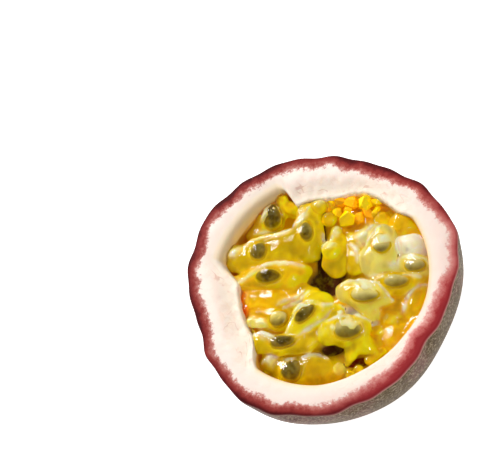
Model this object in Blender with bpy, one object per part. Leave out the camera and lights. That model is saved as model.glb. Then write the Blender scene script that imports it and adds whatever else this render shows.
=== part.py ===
"""Half a purple passion fruit, cut across the middle, resting on its round base with the cut face up.

The shell is one solid of skin and pith, and the pulp is one heap of juice sacs inside it.
Sizes are in millimetres and turn into metres where a mesh is made. Directions round the fruit are
in degrees from +X towards +Y, and depths are measured down from the cut.
"""

import math

import bmesh
import bpy
from mathutils import Matrix, Vector, noise

MM = 0.001
GAP = 0.3  # between the pulp and the shell

# The fruit's outside
RIM_RADIUS = 28.8
CUT_HEIGHT = 31.1
SKIN_DEPTH = 31.6  # from the cut to the pole, before the resting spot is flattened
LOBES = ((3, 1.2, -20), (5, 0.32, -22), (4, 0.2, 0), (2, 0.1, -60))  # count, height, crest
CRINKLES = ((11, 0.2, 8), (17, 0.15, 3), (26, 0.12, 5))
CRINKLE_FADE = 5.0
DENT_HEIGHT = 0.3
DENT_SPACING = 11.0

# The cut face of the pith
EDGE_ROUND = 0.55
FACE_CROWN = 0.3
INNER_ROUND = 0.8
TORN_DIP = 1.3  # how far the face sinks towards the thick stretches of pith

# The hollow that holds the pulp
CAVITY_RADIUS = 22.7
CAVITY_OFFSET = 0.6
CAVITY_CREST = -20
CAVITY_DEPTH = 24.4
# Thick stretches of pith where the sacs were rooted: start, end, softness at each, how thick and
# how deep. The flap is torn off short at its end
FLAP = (-1.0, 71.0, 6.0, 2.0, 1.7, 3.2)
FLAP_TIP = (33.0, 71.0, 12.0, 2.0, 2.3, 3.2)
LEFT_PITH = (131.0, 187.0, 7.0, 10.0, 4.2, 10.0)
NEAR_PITH = (244.0, 294.0, 14.0, 14.0, 0.8, 10.0)
THICKEST = 4.2

# The bed under the sacs
BED_DROP = 5.8
BED_CROWN = 1.0
VOID = (76.0, 124.0, 5.0, 6.0)  # where the pulp has come away from the wall
VOID_WIDTH = 6.0
VOID_DEPTH = 9.0
PIT = (0.9, 1.2)
PIT_RADIUS = 3.2
PIT_DEPTH = 5.5

# Counts that set how fine the solids are
SECTORS = 90
BED_SECTORS = 48
SIDE_RINGS = 9
FACE_RINGS = 4
WALL_DEPTHS = (0.0, 1.6, 3.0, 4.4, 8.0, 13.0, 18.5, 22.8)
ROOM_ABOVE = 8.0
SAC_RINGS = 7
SAC_SIDES = 10
BEAD_WIDTH = 3.8  # a sac narrower than this gets fewer sides
BEAD_RINGS = 5
BEAD_SIDES = 7

SAC_TAPER = 0.16
SAC_OVERHANG = 0.12
SAC_FOOT = 7.6  # every sac reaches down this far below the cut, into the bed
SAC_LUMP = 0.35
LUMP_SPACING = 3.6

# The sacs that show: root x, y, tip x, y, depth of the middle, width
SACS = {
    "notch": (5.2, 22.6, -3.2, 18.8, 5.0, 7.0),
    "notch_lobe": (3.5, 21.0, 5.9, 18.0, 3.6, 3.3),
    "left_seeded": (-11.6, 19.0, -2.1, 13.4, 3.2, 7.0),
    "left_broad": (-5.0, 13.8, 3.0, 7.4, 3.4, 8.7),
    "left_upper": (6.5, 15.6, 3.0, 7.0, 3.0, 7.0),
    "left_crest": (11.0, 15.6, 5.2, 14.4, 2.7, 5.1),
    "pointed": (-14.4, 13.6, 0.2, 4.8, 1.9, 6.8),
    "orange_low": (-13.4, 12.6, -16.2, 9.2, 5.0, 5.4),
    "orange_deep": (-17.0, 8.3, -14.8, 6.8, 6.0, 4.9),
    "stub": (-13.0, 8.2, -9.2, 5.8, 4.2, 5.1),
    "veined": (-14.0, 2.6, -4.0, 2.6, 3.7, 7.3),
    "bright": (-12.0, -3.6, -1.4, -3.6, 2.2, 7.3),
    "loops": (-6.4, 2.0, -2.0, -2.2, 2.8, 4.0),
    "lower_left": (-19.2, 0.4, -9.2, -8.8, 2.8, 6.3),
    "bead_left": (-17.9, 2.7, -17.1, 2.3, 3.2, 3.5),
    "pale_nub": (-15.6, 3.8, -13.0, 2.4, 3.2, 3.7),
    "floor_left": (-20.8, -4.0, -16.6, -5.8, 4.2, 5.1),
    "floor_seeded": (-17.6, -7.9, -14.0, -11.0, 4.4, 7.3),
    "floor_broad": (-14.0, -11.3, -8.0, -15.6, 4.8, 7.3),
    "star": (-0.3, -16.2, -5.4, -7.2, 1.9, 8.7),
    "star_tail": (-3.4, -14.6, -6.8, -16.6, 3.2, 3.0),
    "star_top": (-3.0, -5.4, 2.6, -10.4, 3.2, 4.4),
    "eye": (8.6, -13.0, 2.8, -5.6, 1.5, 6.8),
    "eye_tail": (4.6, -11.6, 3.2, -14.2, 2.3, 2.6),
    "right_low": (14.2, -13.0, 8.9, -6.7, 2.8, 5.4),
    "white": (17.6, -3.8, 20.6, -7.8, 2.4, 5.4),
    "right_seeded": (19.2, -11.6, 14.5, -7.8, 2.8, 6.1),
    "pale": (17.0, 1.2, 10.0, -4.6, 2.0, 8.4),
    "pale_web": (10.6, 2.0, 15.0, 3.0, 2.7, 3.0),
    "swirl": (12.2, -5.4, 15.6, -5.6, 2.8, 4.0),
    "bubble": (9.2, 7.2, 3.9, 0.8, 1.9, 6.3),
    "streaked": (10.2, 3.6, 6.4, -1.4, 3.2, 5.4),
    "bead_top": (13.1, 14.6, 14.0, 14.2, 2.8, 3.7),
    "bead_amber": (9.7, 11.4, 10.6, 10.9, 3.2, 3.9),
    "crest_head": (9.8, 16.6, 10.0, 13.2, 2.6, 5.1),
    "facet": (12.0, 10.0, 13.8, 5.8, 3.2, 4.9),
    "amber_top": (13.9, 12.2, 16.4, 10.2, 4.8, 4.0),
    "spark": (16.8, 8.6, 19.4, 5.4, 3.2, 3.9),
    "coil": (17.8, 5.0, 19.6, 2.4, 4.0, 3.9),
    "amber_right": (20.4, 1.8, 20.4, -2.6, 4.0, 5.1),
    "right_edge": (21.6, -3.7, 20.9, -8.5, 4.8, 3.3),
    "panel": (16.6, -13.8, 10.8, -17.4, 4.2, 5.4),
    "amber_wide": (7.0, -10.8, 9.6, -15.2, 5.2, 6.1),
    "bead_right": (5.9, -15.8, 6.8, -16.4, 3.0, 3.6),
    "ripple": (1.5, -15.4, 6.8, -19.6, 3.7, 3.3),
    "amber_low": (0.2, -15.3, 1.4, -18.4, 5.8, 4.4),
    "rim_lump": (-1.9, -20.6, -5.3, -20.2, 3.3, 3.3),
    "ring": (-9.3, -16.8, -8.4, -17.2, 3.5, 3.5),
    "rim_bright": (-7.8, -19.4, -4.8, -20.6, 3.6, 3.3),
}


def smoothstep(low, high, value):
    share = min(1.0, max(0.0, (value - low) / (high - low)))
    return share * share * (3 - 2 * share)


def plateau(degrees, start, end, soft_start, soft_end):
    """1 between start and end, fading to 0 over the softness at each."""
    rise = smoothstep(start - soft_start, start + soft_start, degrees)
    return rise * (1 - smoothstep(end - soft_end, end + soft_end, degrees))


def waves(degrees, terms):
    return sum(h * math.cos(math.radians(n * (degrees - crest))) for n, h, crest in terms)


def on_circle(degrees, radius, height):
    """A point in millimetres at a direction, a distance from the axis and a height."""
    turn = math.radians(degrees)
    return Vector((radius * math.cos(turn), radius * math.sin(turn), height))


def stretches(degrees, depth):
    """How much the thick stretches of pith narrow the hollow at a direction and a depth."""
    turn = (degrees + 30) % 360 - 30
    total = 0.0
    for *spread, thick, reach in (FLAP, FLAP_TIP, LEFT_PITH, NEAR_PITH):
        fade = 1 - smoothstep(reach, reach * 1.35, depth)
        total += thick * plateau(turn, *spread) * fade
    return total


def skin_point(degrees, steep):
    """The skin at a direction and at an angle from the pole: 0 at the pole and 90 at the cut."""
    lean = math.radians(steep)
    drop = (SKIN_DEPTH - EDGE_ROUND) * math.cos(lean)
    near_cut = 1 - smoothstep(0, CRINKLE_FADE, drop)
    radius = RIM_RADIUS + math.sin(lean) ** 2 * waves(degrees, LOBES)
    radius += near_cut * waves(degrees, CRINKLES)
    height = CUT_HEIGHT - EDGE_ROUND - drop
    point = on_circle(degrees, radius * math.sin(lean), height)
    dent = DENT_HEIGHT * noise.noise(point / DENT_SPACING) * (1 - near_cut) * math.sin(lean)
    return point * (1 + dent / RIM_RADIUS)


def resting_steepness():
    """The angle from the pole at which the skin reaches the floor."""
    return math.degrees(math.acos((CUT_HEIGHT - EDGE_ROUND) / (SKIN_DEPTH - EDGE_ROUND)))


def cavity_radius(degrees, depth):
    """The radius of the hollow at a direction and a depth below the cut."""
    depth = min(max(depth, 0.0), CAVITY_DEPTH)
    wide = CAVITY_RADIUS + waves(degrees, ((1, CAVITY_OFFSET, CAVITY_CREST),))
    return (wide - stretches(degrees, depth)) * math.sqrt(1 - (depth / CAVITY_DEPTH) ** 2)


def face_height(degrees, share):
    """The cut face's height, from the skin at share 0 to the hollow at share 1."""
    crown = FACE_CROWN * math.sin(math.pi * share)
    torn = TORN_DIP * stretches(degrees, 0) / THICKEST * smoothstep(0.45, 1.0, share)
    return CUT_HEIGHT + crown - torn


def wall_point(degrees, depth):
    """The hollow's wall at a direction, at a depth below the lip."""
    lip = face_height(degrees, 1) - INNER_ROUND
    height = lip - depth * (lip - CUT_HEIGHT + CAVITY_DEPTH) / CAVITY_DEPTH
    return on_circle(degrees, cavity_radius(degrees, depth), height)


def ring(point_at, sectors=SECTORS):
    """One closed ring of points, one for each sector."""
    return [point_at(360 * i / sectors) for i in range(sectors)]


def shell_rings():
    """The shell's rings, from the resting spot up the skin, over the cut and down the hollow."""
    start = resting_steepness()
    rings = [ring(lambda a: on_circle(a, skin_point(a, start).xy.length, 0))]
    for i in range(1, SIDE_RINGS + 1):
        steep = start + (90 - start) * i / SIDE_RINGS
        rings.append(ring(lambda a, s=steep: skin_point(a, s)))
    skin_count = len(rings)

    def rim(degrees):
        return skin_point(degrees, 90).xy.length

    def face_point(degrees, share):
        outer = rim(degrees) - EDGE_ROUND
        inner = cavity_radius(degrees, 0) + INNER_ROUND
        return on_circle(degrees, outer + (inner - outer) * share, face_height(degrees, share))

    shoulder = EDGE_ROUND * (1 - math.sqrt(0.5))
    rings.append(ring(lambda a: on_circle(a, rim(a) - shoulder, CUT_HEIGHT - shoulder)))
    for i in range(FACE_RINGS + 1):
        rings.append(ring(lambda a, s=i / FACE_RINGS: face_point(a, s)))

    rings += [ring(lambda a, d=depth: wall_point(a, d)) for depth in WALL_DEPTHS]
    return rings, Vector((0, 0, CUT_HEIGHT - CAVITY_DEPTH)), skin_count


def room_rings():
    """The rings of the hollow less the gap to the shell, from the bottom up to above the cut."""

    def inside(point, depth):
        radius = point.xy.length
        point.xy *= (radius - GAP) / radius
        point.z += GAP * depth / CAVITY_DEPTH
        return point

    rings = [
        ring(lambda a, d=depth: inside(wall_point(a, d), d)) for depth in reversed(WALL_DEPTHS)
    ]
    rings.append([Vector((point.x, point.y, CUT_HEIGHT + ROOM_ABOVE)) for point in rings[-1]])
    bottom = Vector((0, 0, CUT_HEIGHT - CAVITY_DEPTH + GAP))
    return rings, bottom, Vector((0, 0, CUT_HEIGHT + ROOM_ABOVE))


def bed_rings():
    """The rings of the mass under the sacs, from below the hollow up to the pit in its top."""

    def side_point(degrees, depth):
        away = plateau(degrees, *VOID)
        away *= VOID_WIDTH * (1 - smoothstep(VOID_DEPTH, VOID_DEPTH * 1.4, depth))
        return on_circle(degrees, CAVITY_RADIUS + 1.5 - away, CUT_HEIGHT - depth)

    def top_point(degrees, share):
        point = side_point(degrees, BED_DROP)
        point.z += BED_CROWN * (1 - share * share)
        from_pit = (point.xy - Vector(PIT)) * share
        point.xy = Vector(PIT) + from_pit
        point.z -= PIT_DEPTH * math.exp(-((from_pit.length / PIT_RADIUS) ** 2))
        return point

    below = CAVITY_DEPTH + 1.5
    rings = [
        ring(lambda a, d=depth: side_point(a, d), BED_SECTORS) for depth in (below, 13.0, 10.0, BED_DROP)
    ]
    for share in (0.78, 0.52, 0.3, 0.17, 0.08):
        rings.append(ring(lambda a, s=share: top_point(a, s), BED_SECTORS))
    return rings, Vector((0, 0, CUT_HEIGHT - below)), top_point(0, 0)


def split_quad(a, b, c, d):
    """Two triangles that meet along the quad's shorter diagonal."""
    if (a.co - c.co).length < (b.co - d.co).length:
        return (a, b, c), (a, c, d)
    return (a, b, d), (b, c, d)


def closed_mesh(name, rings, first, last, slots=None):
    """A closed mesh from rings of points, with a fan at each end. slots gives each band's material."""
    form = bmesh.new()
    loops = [[form.verts.new(point * MM) for point in points] for points in rings]
    ends = [form.verts.new(point * MM) for point in (first, last)]
    count = len(loops[0])
    for i in range(count):
        following = (i + 1) % count
        form.faces.new((ends[0], loops[0][following], loops[0][i]))
        for band in range(len(loops) - 1):
            low, high = loops[band], loops[band + 1]
            for corners in split_quad(low[i], low[following], high[following], high[i]):
                face = form.faces.new(corners)
                face.material_index = slots[band] if slots else 0
        face = form.faces.new((ends[1], loops[-1][i], loops[-1][following]))
        face.material_index = slots[-1] if slots else 0
    mesh = bpy.data.meshes.new(name)
    form.to_mesh(mesh)
    form.free()
    return mesh


def sac_mesh(name, root_x, root_y, tip_x, tip_y, depth, width):
    """One juice sac: a tapered egg from its root to its tip, with its underside drawn into the bed."""
    root, tip = Vector((root_x, root_y, 0)), Vector((tip_x, tip_y, 0))
    length = (tip - root).length
    rings, sides = (SAC_RINGS, SAC_SIDES) if width > BEAD_WIDTH else (BEAD_RINGS, BEAD_SIDES)
    along = (tip - root).normalized()
    across = Vector((-along.y, along.x, 0))
    half = length / 2 + SAC_OVERHANG * width
    if length < width:
        half = max(half, width / 2)
    middle = (root + tip) / 2 + Vector((0, 0, CUT_HEIGHT - depth))
    foot = (SAC_FOOT - depth) / (width / 2)

    def point_at(turn, side):
        swell = width / 2 * math.sin(turn) * (1 + SAC_TAPER * math.cos(turn))
        up = math.sin(side) * (1 if math.sin(side) > 0 else foot)
        point = middle - along * half * math.cos(turn)
        point += across * swell * math.cos(side) + Vector((0, 0, swell * up))
        lump = SAC_LUMP * noise.noise(point / LUMP_SPACING)
        return point + lump * (point - middle).normalized()

    loops = []
    for i in range(1, rings):
        turn = math.pi * i / rings
        loops.append([point_at(turn, 2 * math.pi * j / sides) for j in range(sides)])
    return closed_mesh(name, loops, point_at(0.0, 0.0), point_at(math.pi, 0.0))


def material(name, colour, roughness, **inputs):
    made = bpy.data.materials.new(name)
    made.use_nodes = True
    shader = made.node_tree.nodes["Principled BSDF"]
    shader.inputs["Base Color"].default_value = (*colour, 1)
    shader.inputs["Roughness"].default_value = roughness
    shader.inputs["Metallic"].default_value = 0.0
    for key, value in inputs.items():
        shader.inputs[key.replace("_", " ")].default_value = value
    return made


def add_object(name, mesh, collection=None):
    made = bpy.data.objects.new(name, mesh)
    (collection or bpy.context.scene.collection).objects.link(made)
    return made


def keep_outer_body(mesh):
    """Drops sealed hollows and loose scraps, so that one body is left."""
    form = bmesh.new()
    form.from_mesh(mesh)
    left, bodies = set(form.verts), []
    while left:
        edge_of_search, body = [left.pop()], set()
        while edge_of_search:
            vertex = edge_of_search.pop()
            body.add(vertex)
            near = {edge.other_vert(vertex) for edge in vertex.link_edges} & left
            left -= near
            edge_of_search.extend(near)
        bodies.append(body)
    bodies.sort(key=len)
    for body in bodies[:-1]:
        bmesh.ops.delete(form, geom=list(body), context="VERTS")
    form.to_mesh(mesh)
    form.free()


def applied(base, operation, **operand):
    """The mesh of the base after one Boolean."""
    change = base.modifiers.new("change", "BOOLEAN")
    change.operation = operation
    change.solver = "MANIFOLD"
    for key, value in operand.items():
        setattr(change, key, value)
    graph = bpy.context.evaluated_depsgraph_get()
    mesh = bpy.data.meshes.new_from_object(base.evaluated_get(graph))
    base.modifiers.clear()
    return mesh


def fuse(pulp):
    """Joins every sac to the bed with one Boolean union, then trims the heap to the hollow."""
    heap = bpy.data.collections.new("sacs")
    bpy.context.scene.collection.children.link(heap)
    for sac, sizes in SACS.items():
        add_object(sac, sac_mesh(sac, *sizes), heap)
    pulp.data = applied(pulp, "UNION", operand_type="COLLECTION", collection=heap)
    for sac in list(heap.objects):
        bpy.data.objects.remove(sac)
    bpy.data.collections.remove(heap)
    room = add_object("room", closed_mesh("room", *room_rings()))
    pulp.data = applied(pulp, "INTERSECT", object=room)
    bpy.data.objects.remove(room)
    keep_outer_body(pulp.data)


def outline_centre(mesh):
    """The middle of the mesh's outline, seen from above, in metres."""
    xs = [vertex.co.x for vertex in mesh.vertices]
    ys = [vertex.co.y for vertex in mesh.vertices]
    return Vector(((min(xs) + max(xs)) / 2, (min(ys) + max(ys)) / 2, 0))


def build_shell():
    rings, centre, skin_count = shell_rings()
    slots = [0 if band < skin_count else 1 for band in range(len(rings))]
    mesh = closed_mesh("shell", rings, Vector((0, 0, 0)), centre, slots)
    mesh.materials.append(material("skin", (0.105, 0.035, 0.038), 0.5))
    mesh.materials.append(material("pith", (0.86, 0.68, 0.62), 0.6))
    mesh.shade_smooth()
    mesh.set_sharp_from_angle(angle=math.radians(50))
    return add_object("shell", mesh)


def build_pulp():
    rings, bottom, top = bed_rings()
    pulp = add_object("pulp", closed_mesh("pulp", rings, bottom, top))
    fuse(pulp)
    pulp.data.name = "pulp"
    pulp.data.materials.clear()
    pulp.data.materials.append(material("pulp", (0.72, 0.45, 0.012), 0.15, IOR=1.36))
    pulp.data.shade_smooth()
    pulp.data.set_sharp_from_angle(angle=math.radians(50))
    return pulp


def main():
    for old in list(bpy.data.objects):
        bpy.data.objects.remove(old)
    shell = build_shell()
    pulp = build_pulp()
    shift = Matrix.Translation(-outline_centre(shell.data))
    for made in (shell, pulp):
        made.data.transform(shift)


main()
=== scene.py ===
"""Looks for the passion fruit half: skin, pith, juice sacs, seeds and the studio round them.

Sizes and places are in millimetres, on the plane of the cut: +X right and +Y away from the camera
before it is rolled, depths measured down from the cut. They turn into metres where a mesh is made.
"""

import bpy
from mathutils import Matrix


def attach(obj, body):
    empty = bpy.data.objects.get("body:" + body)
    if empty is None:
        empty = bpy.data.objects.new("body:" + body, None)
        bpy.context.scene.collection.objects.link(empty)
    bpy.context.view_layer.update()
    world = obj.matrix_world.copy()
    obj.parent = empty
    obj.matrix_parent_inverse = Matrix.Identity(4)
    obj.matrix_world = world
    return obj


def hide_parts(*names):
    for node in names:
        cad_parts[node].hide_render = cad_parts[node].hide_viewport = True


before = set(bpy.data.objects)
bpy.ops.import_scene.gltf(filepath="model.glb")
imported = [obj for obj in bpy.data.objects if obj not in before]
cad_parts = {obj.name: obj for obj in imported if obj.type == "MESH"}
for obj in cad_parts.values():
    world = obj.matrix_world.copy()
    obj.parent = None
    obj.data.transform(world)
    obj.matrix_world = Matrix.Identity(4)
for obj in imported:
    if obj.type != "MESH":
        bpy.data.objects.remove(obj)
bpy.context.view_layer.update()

import math

import bmesh
import bpy
import numpy as np
from mathutils import Matrix, Vector, noise

MM = 0.001

# The shell's form, as the solids have it. Waves of the outline are count, height and crest
RIM_RADIUS = 28.8
CUT_HEIGHT = 31.1
SKIN_DEPTH = 31.6
LOBES = ((3, 1.2, -20), (5, 0.32, -22), (4, 0.2, 0), (2, 0.1, -60))
CRINKLES = ((11, 0.2, 8), (17, 0.15, 3), (26, 0.12, 5))
CRINKLE_FADE = 5.0
DENT_HEIGHT = 0.3
DENT_SPACING = 11.0
EDGE_ROUND = 0.55
FACE_CROWN = 0.3
INNER_ROUND = 0.8
TORN_DIP = 1.3
CAVITY_RADIUS = 22.7
CAVITY_OFFSET = 0.6
CAVITY_CREST = -20
CAVITY_DEPTH = 24.4

# Thick stretches of the pith: start, end, how softly each begins and ends, thickness and depth
FLAP = (-1.0, 71.0, 6.0, 2.0, 1.7, 3.2)
FLAP_TIP = (33.0, 71.0, 12.0, 2.0, 2.3, 3.2)
LEFT_PITH = (131.0, 187.0, 7.0, 10.0, 4.2, 10.0)
NEAR_PITH = (244.0, 294.0, 14.0, 14.0, 0.8, 10.0)
THICKEST = 4.2

# How finely the shell is made
SECTORS = 600
SKIN_RINGS = 61
FACE_RINGS = 18
LIP_LEANS = (15, 30, 45, 60, 75)
WALL_DEPTHS = (0, 0.5, 1, 1.5, 2, 2.5, 3, 3.5, 4, 4.5, 5, 6, 7, 8, 9, 10, 12, 14, 16, 18, 20, 22, 23.5)
OUTSIDE, DEEPEST = -20.0, 20.0  # what the skin's pole and the hollow's floor count as on the way in

# What the shell has over the solids: swellings of the rim (direction, height, spread), a softer edge
# where the cut runs over into the wall (a stretch and how much rounder) and a ragged edge where it is torn
SWELLINGS = ((27, 0.45, 12), (56, 0.45, 12), (136, 0.6, 17), (338, -0.2, 12))
SMOOTH_LIP = (74.0, 133.0, 2.0, 8.0, 1.5)
TORN_REACH = 2.5
TORN_SWING = 0.22

# Where the red band is wider or narrower: direction, how much, spread
BAND_CHANGES = (
    (30, 0.3, 15), (90, 0.7, 15), (120, 0.15, 12), (150, 0.45, 14), (180, -0.6, 13), (208, 0.45, 8),
    (226, -0.55, 9), (285, 1.2, 30), (333, -0.6, 13),
)
# Painted light and shade: the band's tones are darkened towards the far side and lightened towards the near
# side
BAND_SHADE = (0.7, 1.0)  # how bright the band is at the far side and at the near side
NEAREST = 295  # the direction of the near side
GRAIN_START = 215  # the direction where the torn pith's lines begin and end

# The pulp, in millimetres
HEAP_STEP = 0.27  # the heap's grid; a finer one takes a piece past 200,000 triangles
TOP_STEP = 0.06  # how finely the heap's height is looked for
WALL_GAP = 0.12
WET_EDGE = 0.06
FLATTEN = 0.8
PULP_TOP = 2.4
GEL_BOTTOM = 8.8
SKIN_STEPS = 2  # how many steps of the grid the gel lies over the core
SIDE_SKIN = 0.12
BARE = 0.05  # how far the core stands out of the gel in the dark pockets
SEED_ROOM = 0.15
SEED_FLARE = 0.45  # how fast the room round a seed opens upwards
SAC_BLEND = 0.6
SAC_MELT = 1.4
STROKE_BLEND = 0.8
BEAD_BLEND = 0.25
CLUSTER_BLEND = 0.2
CLUSTER_MELT = 0.5
BOX_ROOM = 1.2  # how far past its balls a sac's field is worked out
LUMPS = 0.2
# How strongly the core, the bed and the gems shine by themselves: painted light, as they are no lamp
PAINTED_GLOW = 0.16
FAR = 3.0  # where distances to a sac are cut off for the tones

# Where the pulp has come away from the wall: directions, distances from the middle and drop
VOID = (76, 124, 6, 6)
VOID_EDGE = (15, 20)
VOID_DROP = 4.5
BED_RISE = 1.6  # how much higher the bed lies at the right


def smoothstep(low, high, value):
    share = np.clip((value - low) / (high - low), 0, 1)
    return share * share * (3 - 2 * share)


def fade(low, high, value):
    return 1 - smoothstep(low, high, value)


def plateau(degrees, start, end, soft_start, soft_end):
    rise = smoothstep(start - soft_start, start + soft_start, degrees)
    return rise * fade(end - soft_end, end + soft_end, degrees)


def swelling(degrees, terms):
    away = [((degrees - place + 180) % 360 - 180, high, spread) for place, high, spread in terms]
    return sum(high * np.exp(-(turn / spread) ** 2) for turn, high, spread in away)


def waves(degrees, terms):
    return sum(h * np.cos(np.radians(n * (degrees - crest))) for n, h, crest in terms)


def stretches(degrees, depth):
    """How much the thick stretches of pith narrow the hollow at a direction and a depth."""
    turn = (degrees + 30) % 360 - 30
    total = 0.0
    for *spread, thick, reach in (FLAP, FLAP_TIP, LEFT_PITH, NEAR_PITH):
        total = total + thick * plateau(turn, *spread) * fade(reach, reach * 1.35, depth)
    return total


def cavity_radius(degrees, depth):
    deep = np.clip(depth, 0, CAVITY_DEPTH)
    wide = CAVITY_RADIUS + waves(degrees, ((1, CAVITY_OFFSET, CAVITY_CREST),))
    return (wide - stretches(degrees, deep)) * np.sqrt(1 - (deep / CAVITY_DEPTH) ** 2)


def face_height(degrees, share):
    crown = FACE_CROWN * np.sin(np.pi * share)
    torn = TORN_DIP * stretches(degrees, 0) / THICKEST * smoothstep(0.45, 1.0, share)
    return CUT_HEIGHT + crown - torn


def value_noise(points, spacing, seed=0):
    """Smooth noise from -1 to 1 at each point, with bumps about the spacing apart."""
    scaled = points / spacing
    corner = np.floor(scaled).astype(np.int64)
    share = scaled - corner
    share = share * share * (3 - 2 * share)
    total = 0.0
    for step in np.ndindex(2, 2, 2):
        at = corner + step
        mixed = at[:, 0] * 374761393 + at[:, 1] * 668265263 + at[:, 2] * 2147483647 + seed * 144665
        mixed = (mixed ^ (mixed >> 13)) * 1274126177
        value = ((mixed ^ (mixed >> 16)) & 0xFFFF) / 32767.5 - 1
        weight = np.prod(np.where(step, share, 1 - share), axis=1)
        total = total + weight * value
    return total


def flat_noise(points, spacing, seed):
    """Smooth noise that is the same at every height."""
    return value_noise(points * (1, 1, 0), spacing, seed)


def directions(points):
    return np.degrees(np.arctan2(points[:, 1], points[:, 0])) % 360


def within(points, low, high):
    return np.all((points > low) & (points < high), axis=1)


def along_and_across(points, middle, direction):
    """How far each point lies from a middle, along a direction and across it."""
    turn = math.radians(direction)
    x, y = points[:, 0] - middle[0], points[:, 1] - middle[1]
    return x * math.cos(turn) + y * math.sin(turn), y * math.cos(turn) - x * math.sin(turn)


def blended(tone, other, share):
    """Each point's tone moved towards another by its share."""
    return tone + (np.array(other) - tone) * share[:, None]


# Meshes


def add_mesh(name, points, faces, materials, smooth=True):
    """An object from points in millimetres that rides on the fruit."""
    mesh = bpy.data.meshes.new(name)
    mesh.from_pydata((np.asarray(points) * MM).tolist(), [], [list(map(int, face)) for face in faces])
    for made in materials:
        mesh.materials.append(made)
    if smooth:
        mesh.shade_smooth()
    thing = bpy.data.objects.new(name, mesh)
    bpy.context.scene.collection.objects.link(thing)
    return thing


def set_value(thing, name, values):
    """A number for each vertex, which a material reads by name."""
    layer = thing.data.attributes.new(name, "FLOAT", "POINT")
    layer.data.foreach_set("value", np.asarray(values, dtype=np.float32))


def set_colour(thing, name, colours):
    layer = thing.data.attributes.new(name, "FLOAT_COLOR", "POINT")
    full = np.concatenate([colours, np.ones((len(colours), 1))], axis=1)
    layer.data.foreach_set("color", full.astype(np.float32).reshape(-1))


def ring_faces(ring_count, sides):
    """Quads between rings of points, each ring following the one before."""
    ring, side = np.meshgrid(np.arange(ring_count - 1), np.arange(sides), indexing="ij")
    after = (side + 1) % sides
    quads = [ring * sides + side, ring * sides + after, (ring + 1) * sides + after, (ring + 1) * sides + side]
    return np.stack(quads, axis=-1).reshape(-1, 4)


def closed_rings(rings, first, last):
    """Points and faces of a closed form, from rings of points with a fan at each end."""
    sides = len(rings[0])
    points = np.concatenate([*rings, [first], [last]])
    faces = ring_faces(len(rings), sides).tolist()
    low, high, start = len(points) - 2, len(points) - 1, (len(rings) - 1) * sides
    for i in range(sides):
        after = (i + 1) % sides
        faces.append([low, after, i])
        faces.append([high, start + i, start + after])
    return points, faces


def part_of(axis, start, stop):
    """The slices that keep a stretch of one axis of a grid."""
    part = [slice(None)] * 3
    part[axis] = slice(start, stop)
    return tuple(part)


def surface_net(values, low, step):
    """Points and quads of the surface where a grid of distances is zero."""
    shape = values.shape
    cells = tuple(n - 1 for n in shape)
    total = np.zeros(cells + (3,))
    count = np.zeros(cells)
    for axis in range(3):
        a, b = values[part_of(axis, None, -1)], values[part_of(axis, 1, None)]
        crossing = (a < 0) != (b < 0)
        share = np.where(crossing, a / np.where(crossing, a - b, 1), 0)
        others = [n for n in range(3) if n != axis]
        for shift in np.ndindex(2, 2):
            part = [slice(None)] * 3
            for other, by in zip(others, shift):
                part[other] = slice(by, shape[other] - 1 + by)
            met = crossing[tuple(part)]
            place = np.zeros(cells + (3,))
            place[..., axis] = share[tuple(part)]
            for other, by in zip(others, shift):
                place[..., other] = by
            total += place * met[..., None]
            count += met
    used = count > 0
    number = np.full(cells, -1)
    number[used] = np.arange(used.sum())
    corner = np.stack(np.nonzero(used), axis=-1)
    points = np.array(low) + (corner + total[used] / count[used][:, None]) * step
    inside = values < 0
    quads = []
    for axis in range(3):
        others = [(axis + 1) % 3, (axis + 2) % 3]
        crossing = inside[part_of(axis, None, -1)] != inside[part_of(axis, 1, None)]
        index = np.stack(np.nonzero(crossing), axis=-1)
        inner = np.all([(index[:, n] > 0) & (index[:, n] < shape[n] - 1) for n in others], axis=0)
        index = index[inner]
        corners = []
        for back in ((1, 1), (0, 1), (0, 0), (1, 0)):
            at = index.copy()
            for other, by in zip(others, back):
                at[:, other] -= by
            corners.append(number[tuple(at.T)])
        quad = np.stack(corners, axis=-1)
        turned = ~inside[tuple(index.T)]
        quad[turned] = quad[turned][:, ::-1]
        quads.append(quad)
    return points, np.concatenate(quads)


def settle(field, points, reach=0.03):
    """The points moved onto the field's surface."""
    here = field(points)
    slope = np.stack([(field(points + step) - here) / reach for step in np.eye(3) * reach], axis=-1)
    steep = np.maximum((slope ** 2).sum(axis=1), 0.25)
    return points - np.clip(here / steep, -0.15, 0.15)[:, None] * slope


# Fields of distances: negative inside


def soft_union(a, b, blend):
    near = np.maximum(blend - np.abs(a - b), 0) / blend
    return np.minimum(a, b) - near * near * blend / 4


def stroke_field(points, stroke):
    """The distance to a line of flattened balls joined by cones: x, y, depth and radius of each."""
    squash = np.array([1, 1, 1 / FLATTEN])
    balls = np.array(stroke, dtype=float)
    centres = np.stack([balls[:, 0], balls[:, 1], CUT_HEIGHT - balls[:, 2]], axis=-1) * squash
    spots = points * squash
    if len(balls) == 1:
        return np.linalg.norm(spots - centres[0], axis=1) - balls[0, 3]
    best = None
    for a, b, near, far in zip(centres, centres[1:], balls[:, 3], balls[1:, 3]):
        along = b - a
        share = np.clip((spots - a) @ along / (along @ along), 0, 1)
        apart = np.linalg.norm(spots - a - share[:, None] * along, axis=1)
        piece = apart - (near + (far - near) * share)
        best = piece if best is None else soft_union(best, piece, STROKE_BLEND)
    return best


def sac_field(sac, points):
    total = None
    for stroke in sac["strokes"]:
        one = stroke_field(points, stroke)
        total = one if total is None else soft_union(total, one, sac["melt"])
    return total


def sac_box(sac):
    balls = np.array([ball for stroke in sac["strokes"] for ball in stroke])
    centres = np.stack([balls[:, 0], balls[:, 1], CUT_HEIGHT - balls[:, 2]], axis=-1)
    reach = balls[:, 3:4] + BOX_ROOM
    return (centres - reach).min(axis=0), (centres + reach).max(axis=0)


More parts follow.
